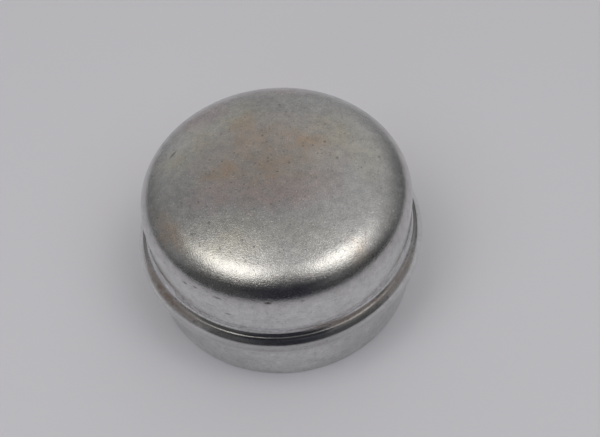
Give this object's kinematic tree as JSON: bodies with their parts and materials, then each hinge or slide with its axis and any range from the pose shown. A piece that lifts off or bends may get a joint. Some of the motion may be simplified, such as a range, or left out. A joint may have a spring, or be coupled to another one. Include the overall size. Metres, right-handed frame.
{
  "type": "hub grease cap",
  "caption": "Round pressed-steel cap with a domed end, a ring bead and a press-fit skirt, which closes a wheel hub and keeps its bearing grease in.",
  "frame": {"origin": "centre of the open rim, on the plane that the cap stands on", "axes": "+Z along the cap's axis, from the open rim towards the closed end"},
  "size_m": [0.0542, 0.0542, 0.0307],
  "materials": {
    "zinc_plate": "satin zinc plate on drawn steel, with faint brown passivation stains on the closed end"
  },
  "bodies": {
    "root": {"grease_cap": "zinc_plate"}
  },
  "joints": []
}
